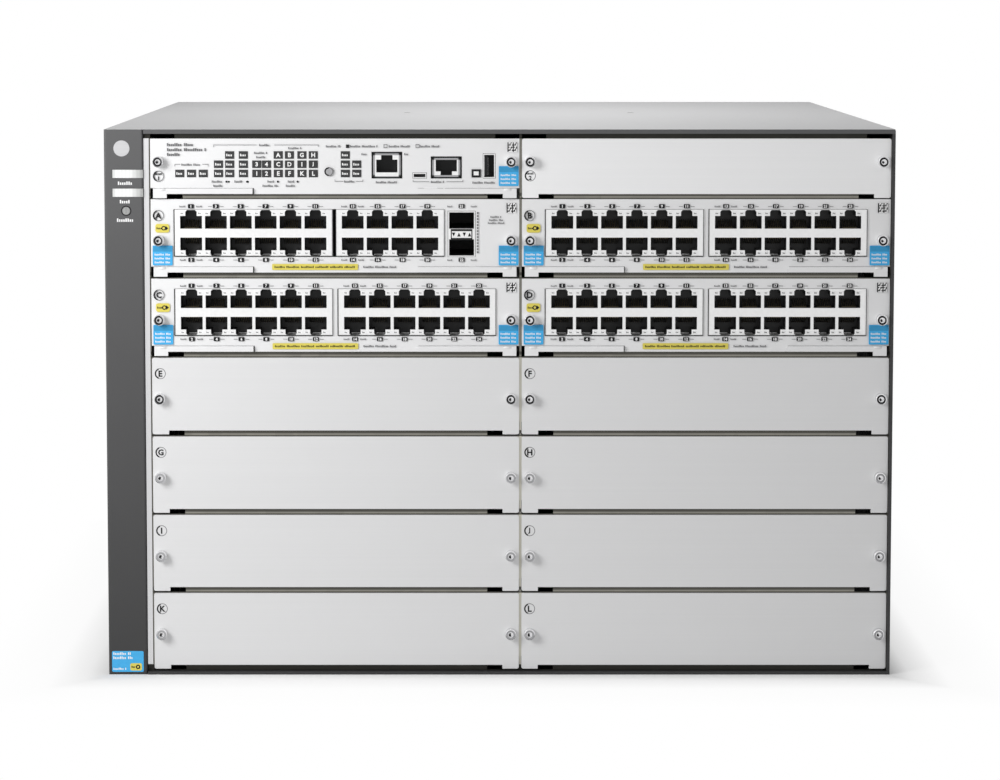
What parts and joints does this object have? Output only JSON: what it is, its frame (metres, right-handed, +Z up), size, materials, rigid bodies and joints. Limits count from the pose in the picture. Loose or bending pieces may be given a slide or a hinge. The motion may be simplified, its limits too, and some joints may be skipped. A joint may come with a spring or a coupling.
{
  "type": "modular chassis switch",
  "caption": "Rack-height network switch chassis with plug-in port modules, a management module, blank slot covers, a fan tray and power supplies",
  "frame": {"origin": "middle of the flat underside of the chassis, under the middle of its depth between bezel front and rear wall", "axes": "+Z up, -Y towards the front with the port modules, +X to the right seen from the front"},
  "size_m": [0.4444, 0.4815, 0.3104],
  "materials": {
    "chassis_paint": "dark grey fine-textured paint",
    "cover_paint": "light grey satin paint",
    "face_steel": "light silver satin finish",
    "frame_steel": "bare zinc-coated sheet",
    "shield_steel": "tinned shielding",
    "strip_metal": "bright satin extrusion",
    "screw_steel": "nickel-plated",
    "guide_plastic": "black moulded",
    "bezel_plastic": "dark grey moulded, satin",
    "light_plastic": "translucent light pipe",
    "board_laminate": "green solder mask",
    "window_plastic": "black lens",
    "tray_steel": "zinc-coated sheet"
  },
  "bodies": {
    "chassis": {"chassis_shell": "chassis_paint", "front_trim": "chassis_paint", "top_cover": "cover_paint", "cover_screws": "screw_steel", "slot_frame": "frame_steel", "partition_walls": "frame_steel", "card_guides": "guide_plastic", "backplane": "board_laminate", "backplane_connectors": "guide_plastic", "left_bezel": "bezel_plastic", "bezel_light_pipes": "light_plastic", "bezel_light_board": "board_laminate", "bezel_strip": "strip_metal", "blank_covers": "face_steel", "blank_cover_manager": "face_steel", "blank_cover_screws": "screw_steel"},
    "manager": {"manager_faceplate": "face_steel", "manager_board": "board_laminate", "manager_sockets": "shield_steel", "manager_status_windows": "window_plastic", "manager_screws": "screw_steel"},
    "manager_lever_left": {"manager_lever_left": "face_steel"},
    "manager_lever_right": {"manager_lever_right": "face_steel"},
    "manager_mode_button": {"manager_mode_button": "guide_plastic"},
    "module_a": {"module_a_faceplate": "face_steel", "module_a_board": "board_laminate", "module_a_jacks": "shield_steel", "module_a_transceiver_cage": "shield_steel", "module_a_screws": "screw_steel"},
    "module_a_lever_left": {"module_a_lever_left": "face_steel"},
    "module_a_lever_right": {"module_a_lever_right": "face_steel"},
    "module_b": {"module_b_faceplate": "face_steel", "module_b_board": "board_laminate", "module_b_jacks": "shield_steel", "module_b_screws": "screw_steel"},
    "module_b_lever_left": {"module_b_lever_left": "face_steel"},
    "module_b_lever_right": {"module_b_lever_right": "face_steel"},
    "module_c": {"module_c_faceplate": "face_steel", "module_c_board": "board_laminate", "module_c_jacks": "shield_steel", "module_c_screws": "screw_steel"},
    "module_c_lever_left": {"module_c_lever_left": "face_steel"},
    "module_c_lever_right": {"module_c_lever_right": "face_steel"},
    "module_d": {"module_d_faceplate": "face_steel", "module_d_board": "board_laminate", "module_d_jacks": "shield_steel", "module_d_screws": "screw_steel"},
    "module_d_lever_left": {"module_d_lever_left": "face_steel"},
    "module_d_lever_right": {"module_d_lever_right": "face_steel"},
    "fan_tray": {"fan_tray": "tray_steel", "fan_housings": "guide_plastic", "fan_tray_screws": "screw_steel"},
    "fan_rotor_1": {"fan_rotor_1": "guide_plastic"},
    "fan_rotor_2": {"fan_rotor_2": "guide_plastic"},
    "power_supply_1": {"power_supply_1": "tray_steel", "power_supply_1_inlet": "guide_plastic", "power_supply_1_screws": "screw_steel"},
    "power_supply_2": {"power_supply_2": "tray_steel", "power_supply_2_inlet": "guide_plastic", "power_supply_2_screws": "screw_steel"}
  },
  "joints": [
    {"name": "manager_slide", "type": "slide", "parent": "chassis", "child": "manager", "axis": [0, -1, 0], "range_m": [0, 0.245]},
    {"name": "manager_lever_left_hinge", "type": "hinge", "parent": "manager", "child": "manager_lever_left", "pos_m": [-0.1899, -0.22165, 0.2767], "axis": [0, 0, -1], "range_deg": [0, 60]},
    {"name": "manager_lever_right_hinge", "type": "hinge", "parent": "manager", "child": "manager_lever_right", "pos_m": [0.0046, -0.22165, 0.2767], "axis": [0, 0, 1], "range_deg": [0, 60]},
    {"name": "manager_mode_button_press", "type": "slide", "parent": "manager", "child": "manager_mode_button", "axis": [0, 1, 0], "range_m": [0, 0.0008], "stiffness_N_per_m": 400},
    {"name": "module_a_slide", "type": "slide", "parent": "chassis", "child": "module_a", "axis": [0, -1, 0], "range_m": [0, 0.245]},
    {"name": "module_a_lever_left_hinge", "type": "hinge", "parent": "module_a", "child": "module_a_lever_left", "pos_m": [-0.1899, -0.22165, 0.2324], "axis": [0, 0, -1], "range_deg": [0, 60]},
    {"name": "module_a_lever_right_hinge", "type": "hinge", "parent": "module_a", "child": "module_a_lever_right", "pos_m": [0.0046, -0.22165, 0.2324], "axis": [0, 0, 1], "range_deg": [0, 60]},
    {"name": "module_b_slide", "type": "slide", "parent": "chassis", "child": "module_b", "axis": [0, -1, 0], "range_m": [0, 0.245]},
    {"name": "module_b_lever_left_hinge", "type": "hinge", "parent": "module_b", "child": "module_b_lever_left", "pos_m": [0.0191, -0.22165, 0.2324], "axis": [0, 0, -1], "range_deg": [0, 60]},
    {"name": "module_b_lever_right_hinge", "type": "hinge", "parent": "module_b", "child": "module_b_lever_right", "pos_m": [0.2136, -0.22165, 0.2324], "axis": [0, 0, 1], "range_deg": [0, 60]},
    {"name": "module_c_slide", "type": "slide", "parent": "chassis", "child": "module_c", "axis": [0, -1, 0], "range_m": [0, 0.245]},
    {"name": "module_c_lever_left_hinge", "type": "hinge", "parent": "module_c", "child": "module_c_lever_left", "pos_m": [-0.1899, -0.22165, 0.1875], "axis": [0, 0, -1], "range_deg": [0, 60]},
    {"name": "module_c_lever_right_hinge", "type": "hinge", "parent": "module_c", "child": "module_c_lever_right", "pos_m": [0.0046, -0.22165, 0.1875], "axis": [0, 0, 1], "range_deg": [0, 60]},
    {"name": "module_d_slide", "type": "slide", "parent": "chassis", "child": "module_d", "axis": [0, -1, 0], "range_m": [0, 0.245]},
    {"name": "module_d_lever_left_hinge", "type": "hinge", "parent": "module_d", "child": "module_d_lever_left", "pos_m": [0.0191, -0.22165, 0.1875], "axis": [0, 0, -1], "range_deg": [0, 60]},
    {"name": "module_d_lever_right_hinge", "type": "hinge", "parent": "module_d", "child": "module_d_lever_right", "pos_m": [0.2136, -0.22165, 0.1875], "axis": [0, 0, 1], "range_deg": [0, 60]},
    {"name": "fan_tray_slide", "type": "slide", "parent": "chassis", "child": "fan_tray", "axis": [0, 1, 0], "range_m": [0, 0.065]},
    {"name": "fan_rotor_1_spin", "type": "hinge", "parent": "fan_tray", "child": "fan_rotor_1", "pos_m": [-0.069, 0.21025, 0.207], "axis": [0, 1, 0], "continuous": true},
    {"name": "fan_rotor_2_spin", "type": "hinge", "parent": "fan_tray", "child": "fan_rotor_2", "pos_m": [0.069, 0.21025, 0.207], "axis": [0, 1, 0], "continuous": true},
    {"name": "power_supply_1_slide", "type": "slide", "parent": "chassis", "child": "power_supply_1", "axis": [0, 1, 0], "range_m": [0, 0.185]},
    {"name": "power_supply_2_slide", "type": "slide", "parent": "chassis", "child": "power_supply_2", "axis": [0, 1, 0], "range_m": [0, 0.185]}
  ]
}
